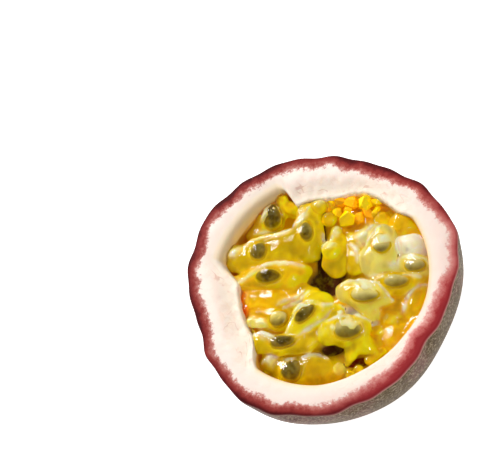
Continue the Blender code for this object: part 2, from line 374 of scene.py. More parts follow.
def room_field(points):
    """The hollow in the shell, which the gel wets with no gap."""
    depth = np.clip(CUT_HEIGHT - points[:, 2], 0, CAVITY_DEPTH - 0.01)
    apart = np.hypot(points[:, 0], points[:, 1])
    return (apart - cavity_radius(directions(points), depth) - WET_EDGE) * 0.9


def oval_share(points, x, y, long, wide, direction):
    """1 in the middle of an oval, falling to 0 past its edge."""
    along, across = along_and_across(points, (x, y), direction)
    return np.exp(-((along / long) ** 2 + (across / wide) ** 2) ** 1.5)


def pit_depths(points):
    """How far each dark pocket takes the bed down at a point."""
    return [deep * oval_share(points, *oval) for *oval, deep, _ in PITS]


def edge_share(points):
    """How near the raised edges of the sacs' skins a point lies as seen from above, from 0 to 1."""
    share = np.zeros(len(points))
    for corners in MEMBRANES:
        line = curve_through(corners, 0.2)
        low, high = line.min(axis=0) - 0.8, line.max(axis=0) + 0.8
        close = np.flatnonzero(within(points[:, :2], low, high))
        for some in np.array_split(close, len(close) // 4000 + 1):
            apart = np.linalg.norm(points[some, None, :2] - line, axis=2).min(axis=1)
            share[some] = np.maximum(share[some], np.exp(-(apart / EDGE_WIDTH) ** 2))
    return share


def milk_and_highlight_cover(points):
    """How white the sacs' skins are painted at a point, from 0 to 1: edges that are partly their own cream
    and partly painted highlight, and spots of painted highlight.
    """
    cover = EDGE_MILK_AND_HIGHLIGHT * edge_share(points) * (0.65 + 0.6 * flat_noise(points, 1.8, 52))
    spots = points + 0.35 * flat_noise(points, 1.0, 51)[:, None]
    for *oval, milk_and_highlight_share in HIGHLIGHT_PATCHES:
        cover = np.maximum(cover, milk_and_highlight_share * oval_share(spots, *oval))
    return np.clip(cover, 0, 1)


def bed_top(points):
    """The height of the jelly between and under the sacs."""
    lumps = 0.7 * flat_noise(points, 2.6, 5) + 0.12 * flat_noise(points, 1.1, 6)
    apart = np.hypot(points[:, 0], points[:, 1])
    fallen = plateau(directions(points), *VOID) * smoothstep(*VOID_EDGE, apart) * VOID_DROP
    crowd = BED_DEPTH - BED_RISE * smoothstep(4, 14, points[:, 0] - 0.4 * points[:, 1])
    dug = np.max(pit_depths(points), axis=0)
    return CUT_HEIGHT - crowd + lumps * fade(0.1, 1.0, dug) - fallen - dug


def finish_heap(total, points):
    """Small lumps on the heap, and the hollow round it."""
    near = np.abs(total) < 1.4
    some = points[near]
    folds = 0.4 - np.abs(value_noise(some, 3.4, 11)) + 0.5 * (0.4 - np.abs(value_noise(some, 1.7, 13)))
    total[near] += LUMPS * (0.5 * value_noise(some, 1.1, 12) - folds)
    total = np.maximum(total, room_field(points))
    return np.maximum(total, CUT_HEIGHT - GEL_BOTTOM - points[:, 2])


def heap_field(points):
    """The field of the whole heap: every sac and the bed under them, kept inside the hollow."""
    total = (points[:, 2] - bed_top(points)) * 0.85
    for sac in SACS.values():
        close = within(points, *sac["box"])
        if close.any():
            total[close] = soft_union(total[close], sac_field(sac, points[close]), sac["blend"])
    return finish_heap(total, points)


def heap_grid(low, high, step):
    """The heap's field on a grid, sac by sac so that each is only worked out where it lies."""
    axes = [np.arange(a, b + step, step) for a, b in zip(low, high)]
    grid = np.stack(np.meshgrid(*axes, indexing="ij"), axis=-1)
    shape = grid.shape[:3]
    ground = grid[:, :, 0].reshape(-1, 3)
    total = (grid[..., 2] - bed_top(ground).reshape(shape[:2])[..., None]) * 0.85
    for sac in SACS.values():
        ends = [np.searchsorted(axis, span) for axis, span in zip(axes, zip(*sac["box"]))]
        part = tuple(slice(*end) for end in ends)
        block = grid[part]
        one = sac_field(sac, block.reshape(-1, 3)).reshape(block.shape[:3])
        total[part] = soft_union(total[part], one, sac["blend"])
    points = grid.reshape(-1, 3)
    return finish_heap(total.reshape(-1), points).reshape(shape), points


def core_field(heap, points):
    """The cloudy middle of the heap, thinly covered at the sides, with room round every seed."""
    ground = points.reshape(heap.shape + (3,))[:, :, 0].reshape(-1, 3)
    # Where the painted highlights and cream edges lie, the core comes up under a thin gel and closes over the
    # seeds
    milk_and_highlight_share = smoothstep(0.3, 0.6, milk_and_highlight_cover(ground)).reshape(heap.shape[:2] + (1,))
    thin, thick = (np.concatenate([heap[:, :, n:], heap[:, :, -n:] + 1], axis=2) for n in (1, SKIN_STEPS))
    total = np.maximum(heap + SIDE_SKIN, thick + (thin - thick) * milk_and_highlight_share).reshape(-1)
    dug = smoothstep(0.4, 1.0, np.max(pit_depths(ground), axis=0)).reshape(heap.shape[:2] + (1,))
    dug = (dug * smoothstep(3.0, 3.6, CUT_HEIGHT - points[:, 2]).reshape(heap.shape)).reshape(-1)
    total = total + (heap.reshape(-1) - BARE - total) * dug
    closed = np.broadcast_to(milk_and_highlight_share * 3, heap.shape).reshape(-1)
    for seed in SEEDS.values():
        low, high = seed["centre"] - seed["half"] - 1.5, seed["centre"] + seed["half"] + 1.5
        close = within(points, low, high)
        room = SEED_ROOM - seed_field(seed, points[close], SEED_FLARE) - closed[close]
        total[close] = -soft_union(-total[close], -room, 0.35)
    return total


def seed_field(seed, points, open_above=0.0):
    """The distance to a seed, or to the room round it that opens upwards."""
    half, wide = seed["half"], seed["wide"]
    along, across = along_and_across(points, seed["centre"], seed["turn"])
    height = points[:, 2] - seed["centre"][2]
    flare = 0.0
    if open_above:
        flare = np.clip(height, 0, 4) * open_above
        height = np.minimum(height, 0)
    size = np.sqrt((along / half) ** 2 + (across / wide) ** 2 + (height / (SEED_FLAT * wide)) ** 2)
    return (size - 1) * wide * 0.8 - flare


def heap_tops(spots):
    """The height of the heap over each spot."""
    heights = np.arange(CUT_HEIGHT + PULP_TOP, CUT_HEIGHT - GEL_BOTTOM, -TOP_STEP)
    columns = np.zeros((len(spots), len(heights), 3))
    columns[..., :2] = np.array(spots)[:, None]
    columns[..., 2] = heights
    inside = heap_field(columns.reshape(-1, 3)).reshape(len(spots), -1) < 0
    return np.where(inside.any(axis=1), heights[inside.argmax(axis=1)], heights[-1])


def curve_through(corners, spacing):
    """Spots along a smooth line through the corners."""
    line = np.array(corners, dtype=float)
    padded = np.concatenate([[2 * line[0] - line[1]], line, [2 * line[-1] - line[-2]]])
    spots = []
    for a, b, c, d in zip(padded, padded[1:], padded[2:], padded[3:]):
        for t in np.arange(0, 1, spacing / max(np.linalg.norm(c - b), spacing)):
            spots.append(0.5 * (2 * b + (c - a) * t + (2 * a - 5 * b + 4 * c - d) * t ** 2
                                + (3 * b - a - 3 * c + d) * t ** 3))
    return np.array(spots + [line[-1]])


def lay_membranes():
    """The raised edges of the sacs' skins, as cords that lie on the heap."""
    lines = [curve_through(corners, 0.7) for corners in MEMBRANES]
    heights = heap_tops(np.concatenate(lines))
    first = 0
    for number, line in enumerate(lines):
        depth = CUT_HEIGHT - heights[first:first + len(line)]
        first += len(line)
        ends = np.sin(np.linspace(0.12, math.pi - 0.12, len(line))) ** 0.4
        spots = np.column_stack([line, depth])
        wide = MEMBRANE * ends * (1 + 0.35 * value_noise(spots, 1.5, 31 + number))
        stroke = np.column_stack([spots, wide]).tolist()
        SACS[f"membrane_{number}"] = jelly("milk", stroke, blend=MEMBRANE_BLEND)


def heap_meshes():
    """The surfaces of the gel and of the core in it."""
    step = HEAP_STEP
    low = np.array([-CAVITY_RADIUS - 1, -CAVITY_RADIUS - 1, CUT_HEIGHT - GEL_BOTTOM - 0.5])
    high = np.array([CAVITY_RADIUS + 1, CAVITY_RADIUS + 1, CUT_HEIGHT + PULP_TOP])
    heap, points = heap_grid(low, high, step)
    gel, gel_faces = surface_net(heap, low, step)
    inner = core_field(heap, points).reshape(heap.shape)
    core, core_faces = surface_net(inner, low, step)
    return (settle(heap_field, gel), gel_faces), (core, core_faces)


def blend_tones(points):
    """Each point's tone, from the sacs it is nearest to, and how far it lies from where two sacs meet."""
    weights = [np.full(len(points), 0.02)]
    tones = [np.array(TONES["bed"])]
    nearest = np.full(len(points), FAR)
    second = np.full(len(points), FAR)
    for sac in SACS.values():
        apart = np.full(len(points), FAR)
        close = within(points, *sac["box"])
        apart[close] = np.minimum(sac_field(sac, points[close]), FAR)
        weights.append(np.exp(-np.maximum(apart, -0.5) / 0.25))
        tones.append(np.array(TONES[sac["tone"]]))
        second = np.minimum(second, np.maximum(nearest, apart))
        nearest = np.minimum(nearest, apart)
    weights = np.array(weights)
    blend = np.einsum("sp,sc->pc", weights, np.array(tones)) / weights.sum(axis=0)[:, None]
    return blend, np.clip(second - nearest, 0, 2)


def core_tones(points, normals):
    """The core's colours: painted shade deep in the middle of a sac and in the creases between sacs, painted
    light on the sides where light comes through, and painted highlights with cream edges on top.
    """
    tone, apart = blend_tones(points)
    away = -(normals[:, 0] * LIGHT_FROM[0] + normals[:, 1] * LIGHT_FROM[1])
    # Painted light: the sides that face away from the light are brighter and clearer, as if light came
    # through
    through = smoothstep(0.05, 0.75, away + 0.3 * value_noise(points, 1.6, 21))
    # Painted shade: darker deep in the middle of a sac, where no light comes through
    deep = smoothstep(0.3, 1.6, apart) * (0.6 + 0.4 * value_noise(points, 2.0, 22)) * (1 - through)
    tone = tone * (1 - np.outer(deep, (0.34, 0.40, 0.3)))
    # Painted shade: darker in the creases where two sacs meet
    crease_shade = fade(0.0, 0.35, apart) * (0.7 + 0.5 * value_noise(points, 2.4, 26))
    tone = tone * (1 - np.outer(np.clip(crease_shade, 0, 1), (0.22, 0.36, 0.3)))
    bright = np.minimum(tone * (1.16, 1.30, 1.0), (0.96, 0.84, 0.9))
    tone = blended(tone, bright, through)
    # Painted highlight: a milk-white sheen on the sides that face the light
    milk_and_highlight_share = smoothstep(0.25, 0.75, -away + 0.5 * value_noise(points, 1.3, 23)) * 0.12
    milk_and_highlight_share = milk_and_highlight_share * smoothstep(0.1, 0.5, value_noise(points, 2.3, 24) + 0.3)
    halo = np.zeros(len(points))
    for seed in SEEDS.values():
        halo = np.maximum(halo, 1 - np.clip(seed_field(seed, points) / 1.1, 0, 1))
    tone = blended(tone, np.array(TONES["lemon"]) * (1.02, 1, 1), 0.5 * halo)
    # Cream edges, partly their own colour and partly painted highlight, and the spots of painted highlight
    milk_and_highlight_share = np.maximum(milk_and_highlight_share, milk_and_highlight_cover(points) * (0.85 + 0.3 * flat_noise(points, 0.6, 25)))
    tone = blended(tone, TONES["milk"], milk_and_highlight_share)
    # Painted shade: the bottoms of the pockets are painted in their dark tones
    low = smoothstep(2.8, 3.8, CUT_HEIGHT - points[:, 2])
    for deep, pit in zip(pit_depths(points), PITS):
        tone = blended(tone, TONES[pit[-1]], np.clip(deep / 0.8, 0, 1) * low)
    return np.clip(tone, 0, 0.98)


def jelly(tone, *strokes, blend=SAC_BLEND, melt=SAC_MELT):
    """A sac of jelly, how softly it joins the heap and how softly its strokes join each other.

    A stroke is a line of balls: x, y, depth and radius.
    """
    sac = {"tone": tone, "strokes": strokes, "blend": blend, "melt": melt}
    sac["box"] = sac_box(sac)
    return sac


def bead(tone, *ball):
    return jelly(tone, [ball], blend=BEAD_BLEND)


def cluster(tone, *strokes):
    """Small lumps that touch."""
    return jelly(tone, *strokes, blend=CLUSTER_BLEND, melt=CLUSTER_MELT)


# The sacs of jelly, each made of its strokes
SACS = {
    "crown": jelly(
        "yellow",
        [(-11, 18.5, 3.4, 2.3), (-8.5, 17, 3, 2.5), (-5.5, 15.5, 2.6, 3), (-1, 12.5, 2.6, 3.2),
         (2, 11, 2.6, 3.1), (5, 12, 2.4, 2.7), (6.5, 15, 2.4, 1.9)],
        [(-9.5, 16, 3.2, 2.1), (-6.5, 14.5, 3, 2.6), (0, 10.5, 3, 2.7), (2.5, 9, 3, 2.7),
         (2.5, 7, 3.2, 1.5)],
        [(5, 9.5, 3, 1.7), (6.5, 12.5, 3, 1.6)],
        [(8.5, 16, 2.6, 1.5), (8, 14, 2.8, 1.4)],
        [(-10, 19.5, 2.6, 1.4)],
        melt=2.2,
    ),
    "notch": jelly(
        "amber",
        [(-4.5, 20.5, 4.4, 1.4), (-3, 20, 4.2, 1.8), (0.5, 20.5, 4.2, 3.1), (3, 22, 4.4, 2.1),
         (5.5, 23.5, 4.6, 1)],
        [(4.5, 20, 3.8, 1.8), (5, 18, 3.8, 1.1)],
        [(2, 21.5, 3, 1.6), (4, 21.5, 2.8, 1.3)],
    ),
    "notch_tubes": jelly(
        "gold",
        [(5.6, 22.3, 1.5, 1), (5.2, 21.2, 2, 1), (5, 20.1, 2.6, 0.9)],
        [(5, 20, 2.5, 1.1), (5.5, 18.8, 2.8, 1.2), (5.8, 17.6, 3.2, 1)],
        blend=0.25,
        melt=0.3,
    ),
    "pointed": jelly(
        "amber",
        [(-14, 14, 3.2, 1.3), (-11.5, 12.5, 2.8, 1.7), (-10, 11.5, 2.4, 2.1), (-7, 9, 2, 2.9),
         (-4, 6.5, 2, 2.9), (-2, 5.5, 2.4, 2.2), (-0.5, 5, 2.8, 1)],
        [(-13, 13, 3.6, 1.3), (-10, 10.5, 3.2, 1.8), (-5, 6, 3, 1.9), (-3, 4.5, 3.2, 1.2)],
    ),
    "folds": jelly(
        "amber",
        [(-14, 11.5, 4.4, 1.5), (-12.5, 7.5, 3.8, 2.7), (-9.5, 4.5, 3.4, 3), (-6.5, 3, 3.2, 2.1),
         (-4, 2, 3, 1.6), (-2.5, 0, 3, 1.4)],
        melt=1,
    ),
    "folds_low": jelly(
        "bed",
        [(-15, 7.5, 4.4, 1.8), (-13.5, 4.5, 3.8, 2.4), (-11.5, 1, 3.2, 2.5), (-8.5, 1, 3.4, 1.8)],
        blend=1,
    ),
    "bright": jelly(
        "lemon",
        [(-13, -4, 2.6, 1.1), (-9.5, -4, 2.2, 1.9), (-6.5, -3.5, 2, 2.7), (-3.5, -3.5, 2, 2.5),
         (-1.5, -3.5, 2.4, 1.4)],
        [(-6, -5, 2.6, 1.8), (-3, -4.5, 2.6, 1.6)],
        [(-3.5, 0, 2.4, 1.6), (-2, -2.5, 2.2, 1.4)],
    ),
    "lower": jelly(
        "yellow",
        [(-20, 0, 3.6, 1.5), (-17.5, -1, 2.8, 2.1), (-14.5, -4.5, 2.4, 2.1), (-12.5, -6, 2.8, 1.9),
         (-10.5, -7.5, 2.8, 2), (-8, -7.5, 3, 1.9)],
    ),
    "left_bead": bead("yellow", -18, 2.5, 3.2, 1.1),
    "left_nub": jelly("pale", [(-16, 4, 2.8, 1.3), (-14.5, 2, 2.4, 0.9)]),
    "floor": jelly(
        "ochre",
        [(-21, -4.5, 4.8, 1.3), (-18.5, -5, 4.2, 1.8), (-17.5, -7.5, 4.4, 2)],
        [(-16.5, -9.5, 4.4, 2.7), (-14.5, -11, 4.6, 2.6)],
        [(-12.5, -12, 4.6, 2.9), (-11, -14, 4.8, 2.5), (-10, -15.5, 5, 2)],
        [(-18.5, -9, 5, 1.3), (-16.5, -11, 5, 1.5), (-14, -13.5, 5.2, 1.5), (-11.5, -16, 5.2, 1.3)],
        melt=1.2,
    ),
    "star": jelly(
        "lemon",
        [(-4.5, -6, 2.8, 1.3), (-5.5, -9.5, 2.6, 2.3), (-2.5, -11.5, 2, 3.3), (0, -13, 2, 2.5),
         (-1.5, -15.5, 2.4, 2)],
        [(-2.5, -15, 2.8, 1.6), (-4.5, -16, 3, 1.2), (-6.5, -17, 3.4, 0.8)],
        [(-1.5, -16.5, 3, 1.7), (-1, -18.5, 3.4, 1.3)],
        [(-1.5, -6.5, 2.8, 1.8), (-2, -8.5, 2.6, 1.6)],
    ),
    "eye": jelly(
        "cream",
        [(3, -5, 2, 2.4), (5, -8, 1.4, 3), (7, -10, 1.5, 2.5), (8, -11.5, 1.9, 1.4)],
        [(4, -10, 2.2, 1.8), (4, -12, 2.6, 1.3), (3.5, -13, 2.8, 0.8)],
    ),
    "right_low": jelly(
        "ochre",
        [(9, -7, 2.8, 1.4), (10.5, -8.5, 2.6, 1.8), (12, -10.5, 2.4, 2.1), (14, -12, 2.6, 1.7),
         (16, -12.5, 3, 1.1)],
        [(10.5, -10.5, 3.2, 1.5), (12.5, -12, 3.2, 1.4)],
    ),
    "right_seeded": jelly("pale", [(16, -8, 2.6, 1.6), (17.5, -10.5, 2.4, 2.2), (18.5, -11.5, 2.8, 1.5)]),
    # The white sac's tone is a painted reflection of the light
    "white": jelly("white", [(18, -5, 2.2, 2), (19.5, -6.5, 2, 2.1), (20.5, -7.5, 2.4, 1.7)]),
    "pale": jelly(
        "pale",
        [(15.5, 1.5, 2.4, 1.8), (16, -0.5, 2, 2.6), (14.5, -2.5, 1.8, 3), (11.5, -3, 2.2, 2.9),
         (10, -3.5, 2.6, 1.9)],
        [(13.5, -6, 2.6, 2.3), (14, -7, 3, 1.6)],
        [(10.5, -5, 2.8, 1.8)],
        melt=1.8,
    ),
    "web": jelly("cream", [(11.5, 4, 2.8, 0.8), (13, 3, 2.4, 1.1), (14, 3, 2.6, 0.9)]),
    "bubble": jelly(
        "yellow",
        [(9.5, 7.5, 2.4, 1.2), (8, 5.5, 2.5, 1.8), (6, 4, 2.9, 2.2), (4.5, 2.5, 2.7, 2.1),
         (4, 1, 2.8, 1.6)],
        [(8, 4, 2.9, 1.5), (6.5, 2, 2.8, 1.9), (5, 0.5, 3, 1.5)],
    ),
    "streaked": jelly(
        "yellow",
        [(11, 4.5, 3, 1.1), (10, 2, 2.8, 1.4), (9, 0.5, 2.6, 1.6), (7.5, -1.5, 2.8, 1.8)],
    ),
    "green_bead": bead("yellow", 10, 14.5, 2.2, 1.8),
    "amber_bead": bead("gold", 10, 11, 2.8, 1.6),
    "top_lumps": cluster(
        "gold",
        [(13.5, 15, 3, 1.4), (14.5, 14, 3.4, 1.1)],
        [(11.5, 14, 3, 1.1), (12.5, 12.5, 3.2, 1.1)],
    ),
    "far_bed": jelly("orange", [(12.5, 9.5, 4.6, 1.8), (15.5, 8.5, 4.8, 2.2), (19, 7, 5, 2)]),
    "ball": jelly("lemon", [(6, 4, 1, 2.05)], blend=0.04),
    "coil": cluster("gold", [(18.5, 3.5, 3.4, 1.5)], [(19, 2, 4.2, 1.4)]),
    "right_beads": jelly("amber", [(20.9, -0.4, 2.8, 2.3)], [(22, -2.5, 3.6, 1.7), (22, -5.5, 4.4, 1.4)]),
    "panel": jelly(
        "gold",
        [(13.5, -15, 3.8, 1.6), (12, -16, 4.2, 1.9), (10.5, -17, 4.6, 1.4)],
        [(15.5, -14, 3.8, 1.1), (17.5, -14, 4, 0.8)],
        blend=0.2,
        melt=0.6,
    ),
    "amber_wide": jelly("bed", [(8, -13, 4.4, 2.5), (10, -14, 4.6, 1.9)]),
    "gloss_bead": bead("gold", 6, -15.5, 3.2, 1.2),
    "near_lumps": cluster(
        "amber",
        [(7, -17.5, 4, 1.3)],
        [(3.5, -19, 4.4, 0.8)],
        [(2.5, -15.5, 3.8, 1.3)],
        [(4.5, -16, 4, 1.1)],
        [(4.5, -17.5, 4.4, 1.3)],
    ),
    "near_amber": jelly("bed", [(1, -17, 4.6, 1.9)]),
    "rim_lumps": cluster(
        "gold",
        [(-2.5, -19.5, 3.6, 1.3), (0.5, -19.5, 4, 1)],
        [(-7.5, -19, 3.8, 1)],
        [(-5.5, -19.5, 3.8, 1.1)],
    ),
    "ring_bead": bead("cream", -8.5, -16.5, 3.8, 1.4),
    "orange_pocket": jelly(
        "red",
        [(-14.4, 10, 3.4, 1.5)],
        [(-15.6, 7.4, 3.5, 1.5)],
        [(-16.3, 4.6, 3.8, 1.2)],
        blend=0.25,
        melt=0.8,
    ),
}

# The side that the light comes from over the heap
LIGHT_FROM = (-0.3, 0.95)

# Where the sacs' skins stand up in a cream edge: lines of x, y
MEMBRANE = 0.22
MEMBRANE_BLEND = 0.4
EDGE_WIDTH = 0.15
# How white the cream edges are painted: partly their own colour, partly painted highlight
EDGE_MILK_AND_HIGHLIGHT = 0.8
MEMBRANES = (
    ((-11, 19), (-9.5, 18.5), (-7, 18), (-5, 17.5), (-2.5, 16.5), (-0.5, 15), (1, 14.5), (3, 14.5), (7, 15),
     (8.5, 15.5)),
    ((7, 9), (5.5, 7), (3.5, 5.5)),
    ((-13.5, 13), (-11, 12), (-9, 11.5), (-6.5, 11), (-4, 10), (-3, 9), (-2, 7.5), (-0.5, 5.5)),
    ((-10, 3), (-8, 2.5), (-5.5, 1.5), (-3.5, 1.5)),
    ((-9.5, 1.5), (-7, 1), (-4.5, 0.5), (-3, 0.5)),
    ((-6.5, -1.5), (-4.5, -1.5), (-3.5, -3), (-2.5, -4.5), (-1, -5)),
    ((-12.5, -4), (-10.5, -2.5), (-7.5, -1.5), (-6, -1)),
    ((-13.5, -4.5), (-11, -5.5), (-8, -6), (-4.5, -6.5), (-2, -6)),
    ((2.5, -4), (4.5, -4), (6.5, -6), (8.5, -8), (9, -10), (9, -12), (9, -13)),
    ((0, -6), (1, -8.5), (1.5, -11.5), (3, -14)),
    ((-4.5, -7), (-2.5, -8.5), (0, -10.5)),
    ((-0.5, -7.5), (-1.5, -9.5), (-3, -11)),
    ((-19.5, 0.5), (-18, 1), (-16, 0), (-15, -2), (-14, -4.5)),
    ((-20, -4.5), (-18, -4.5), (-17, -5.5)),
    ((-16, -7), (-14, -9), (-11.5, -10), (-10, -11), (-9, -13)),
    ((-1, 20.5), (1.5, 21), (3.5, 21)),
    ((-4, 20), (-2, 18.5), (0, 17.5)),
    ((12, 0), (14.5, 0.5), (17, 1)),
    ((18.5, -3), (17, -6), (14.5, -8)),
    ((19, -4), (21.5, -6), (22, -8)),
    ((16, -7.5), (18, -8.5), (19.5, -11), (19.5, -12.5)),
    ((11.5, 3.5), (13.5, 2.5), (16, 2.5)),
    ((8.5, 7), (7.5, 6), (5, 5.5)),
    ((9.5, -16), (12, -14.5), (15, -14), (17.5, -15.5)),
    ((10, 3), (10, 0.5), (8.5, -1.5)),
    ((9, -7), (11.5, -8.5), (14, -10.5), (16.5, -13)),
)

# Painted highlights on the sacs' skins, as milk-white spots: x, y, half length, half width, direction and how
# white
HIGHLIGHT_PATCHES = (
    (5.6, 14.3, 1.7, 0.8, 17, 0.8),
    (-9.7, 18.5, 1.3, 0.8, 0, 0.7),
    (-0.8, 14.9, 2.6, 0.35, -22, 0.6),
    (1.2, 21.8, 2.2, 0.5, 22, 0.9),
    (-4.1, 9.6, 4.3, 0.6, -35, 0.6),
    (10.7, 14.9, 1.1, 0.9, -44, 0.6),
    (9.2, 7.1, 1.1, 0.7, 44, 0.8),
    (6.7, 4.7, 0.9, 0.55, -44, 0.9),
    (12.6, 2.0, 2.0, 1.1, 11, 0.85),
    (15.6, -1.8, 1.9, 1.4, -44, 0.95),
    (19.7, -6.2, 2.6, 1.9, -44, 1.0),
    (17.9, -9.0, 2.6, 0.5, -49, 0.75),
    (14.0, -7.3, 1.1, 0.7, -44, 0.65),
    (10.0, -6.4, 2.0, 0.4, -44, 0.65),
    (6.7, -7.6, 2.6, 1.0, -63, 0.95),
    (-6.1, -1.8, 2.2, 0.5, -17, 0.85),
    (-0.9, -11.8, 2.2, 1.2, -53, 0.85),
    (-3.9, -10.1, 0.8, 0.9, -44, 0.65),
    (-15.6, -0.6, 2.2, 1.0, -58, 0.85),
    (-14.7, 2.5, 1.3, 0.7, -44, 0.6),
    (-11.3, 0.2, 1.1, 0.4, -6, 0.5),
    (-18.3, -5.4, 1.1, 0.9, -44, 0.7),
    (-15.2, -7.9, 1.3, 0.4, -44, 0.6),
    (-11.6, -10.3, 1.3, 0.25, -49, 0.65),
    (-10.8, 7.1, 0.5, 0.5, -44, 0.7),
    (-1.0, -8.2, 1.1, 0.35, 44, 0.75),
)

# The dark pockets between the sacs: x, y, half length, half width, direction, depth and tone; the tone paints
# the bottom of a pocket dark, as painted shade
BED_DEPTH = 4.8
BED_DEPTHS = (23.6, 22, 20, 17, 14, 11, 9, GEL_BOTTOM - 0.8)
PITS = (
    (1.2, 1.0, 3.9, 3.1, -30, 1.9, "brown"),
    (4.0, 7.0, 6.5, 0.9, 52, 3.0, "brown"),
    (-7.0, -11.5, 2.6, 1.3, -40, 1.6, "brown"),
    (-4.5, -17.5, 2.6, 1.0, -30, 1.8, "maroon"),
    (7.0, 19.5, 1.2, 1.0, 0, 1.0, "maroon"),
)

# Seeds: x, y, how much jelly lies over it, half length, half width, direction and how pale it is
SEED_FLAT = 0.55
SEED_ROWS = 20
SEED_SIDES = 28
# Painted light: each seed is paler on its side towards the light
PAINTED_LIT_SIDE = (0.6, 0.8)  # the side of a seed that is paler
SEEDS = {
    "notch": (1.2, 20.0, 0.5, 2.9, 2.0, 60, 0.06),
    "crown_left": (-5.6, 15.0, 0.7, 1.9, 1.7, 20, 0.12),
    "crown_right": (4.6, 11.4, 0.6, 2.2, 1.4, 60, 0.18),
    "pointed": (-7.4, 8.8, 0.4, 3.0, 1.5, -40, 0.0),
    "veined": (-11.4, 0.5, 0.5, 1.9, 1.6, -10, 0.9),
    "bright": (-6.5, -3.2, 0.5, 2.8, 1.3, 0, 0.06),
    "lower": (-13.8, -4.4, 0.5, 2.8, 1.3, -35, 0.06),
    "floor": (-16.1, -9.8, 0.8, 2.4, 2.1, 20, 0.08),
    "star": (-1.8, -12.4, 0.5, 3.0, 2.0, -40, 0.45),
    "eye": (5.5, -9.0, 0.4, 3.1, 1.6, -45, 1.0),
    "right_low": (12.2, -10.5, 0.5, 2.8, 1.4, -40, 0.62),
    "right_seeded": (17.3, -10.4, 0.5, 2.3, 1.5, -45, 0.62),
    "pale": (14.9, -2.2, 0.5, 2.2, 1.8, 70, 1.25),
}

# Small angular pieces of jelly: x, y, depth, half length, half width, half height, turn and tone
GEMS = (
    (12.9, 8.0, 2.3, 2.3, 1.8, 1.8, 20, "lemon"),
    (15.0, 6.7, 2.9, 1.7, 1.4, 1.5, -30, "orange"),
    (12.2, 10.8, 2.8, 1.4, 1.2, 1.3, 70, "gold"),
    (14.4, 12.3, 2.9, 1.9, 1.5, 1.6, 10, "orange"),
    (16.1, 10.4, 2.7, 2.2, 1.8, 1.8, -35, "orange"),
    (14.2, 9.9, 3.4, 1.3, 1.1, 1.2, 30, "gold"),
    (18.0, 8.2, 2.3, 2.2, 1.7, 1.9, 40, "lemon"),
    (19.9, 7.2, 2.9, 1.7, 1.3, 1.6, -20, "gold"),
    (16.8, 6.4, 3.2, 1.7, 1.4, 1.4, 75, "orange"),
    (18.5, 5.4, 3.2, 1.4, 1.2, 1.3, 15, "gold"),
    (17.7, 10.6, 3.3, 1.4, 1.1, 1.3, 50, "amber"),
    (10.9, 12.9, 3.2, 1.0, 0.9, 1.0, 0, "orange"),
    (12.6, 13.5, 2.9, 1.2, 1.0, 1.2, -50, "gold"),
)
GEM_CORNERS = 11
GEM_EDGE = 0.12

TONES = {
    "yellow": (0.80, 0.565, 0.001),
    "lemon": (0.92, 0.73, 0.001),
    "gold": (0.94, 0.63, 0.001),
    "amber": (0.95, 0.61, 0.001),
    "ochre": (0.78, 0.53, 0.001),
    "orange": (0.93, 0.44, 0.001),
    "red": (0.80, 0.14, 0.001),
    "cream": (0.95, 0.78, 0.13),
    "pale": (0.93, 0.82, 0.22),
    # The white tone is a painted reflection, used by the white sac
    "white": (0.95, 0.93, 0.76),
    "bed": (0.93, 0.54, 0.001),
    "brown": (0.072, 0.022, 0.006),
    "maroon": (0.16, 0.012, 0.002),
    "milk": (0.96, 0.91, 0.68),
}


# Materials


class Nodes:
    """Short calls that add nodes to one material."""

    def __init__(self, name):
        self.material = bpy.data.materials.new(name)
        self.material.use_nodes = True
        self.tree = self.material.node_tree
        self.shader = self.tree.nodes["Principled BSDF"]

    def add(self, kind, inputs=None, **settings):
        node = self.tree.nodes.new(kind)
        for key, value in settings.items():
            setattr(node, key, value)
        for key, value in (inputs or {}).items():
            self.feed(node.inputs[key], value)
        return node

    def feed(self, socket, value):
        if isinstance(value, bpy.types.NodeSocket):
            self.tree.links.new(value, socket)
        else:
            socket.default_value = value

    def set(self, **inputs):
        for key, value in inputs.items():
            self.feed(self.shader.inputs[key.replace("_", " ")], value)

    def place(self):
        """The place on the fruit, in millimetres."""
        where = self.add("ShaderNodeTexCoord").outputs["Object"]
        return self.add("ShaderNodeVectorMath", {0: where, 3: 1 / MM}, operation="SCALE").outputs[0]

    def value(self, name):
        return self.add("ShaderNodeAttribute", attribute_name=name).outputs["Fac"]

    def colour(self, name):
        return self.add("ShaderNodeAttribute", attribute_name=name).outputs["Color"]

    def noise(self, where, spacing, detail=2.0, rough=0.5, stretch=None):
        if stretch:
            where = self.add("ShaderNodeVectorMath", {0: where, 1: stretch}, operation="MULTIPLY").outputs[0]
        inputs = {"Vector": where, "Scale": 1 / spacing, "Detail": detail, "Roughness": rough}
        return self.add("ShaderNodeTexNoise", inputs).outputs["Fac"]

    def math(self, operation, a, b=0.0, clamp=False):
        return self.add("ShaderNodeMath", {0: a, 1: b}, operation=operation, use_clamp=clamp).outputs[0]

    def plus(self, a, b):
        return self.math("ADD", a, b)

    def times(self, a, b):
        return self.math("MULTIPLY", a, b)

    def between(self, value, low, high, to_low=0.0, to_high=1.0):
        inputs = {0: value, 1: low, 2: high, 3: to_low, 4: to_high}
        return self.add("ShaderNodeMapRange", inputs, interpolation_type="SMOOTHSTEP").outputs[0]

    def mix(self, share, a, b, blend="MIX"):
        node = self.add("ShaderNodeMix", data_type="RGBA", blend_type=blend)
        for key, value in ((0, share), (6, a), (7, b)):
            if isinstance(value, tuple):
                value = (*value, 1.0)
            self.feed(node.inputs[key], value)
        return node.outputs[2]

    def bump(self, height, distance, strength=1.0):
        inputs = {"Height": height, "Distance": distance * MM, "Strength": strength}
        return self.add("ShaderNodeBump", inputs).outputs[0]


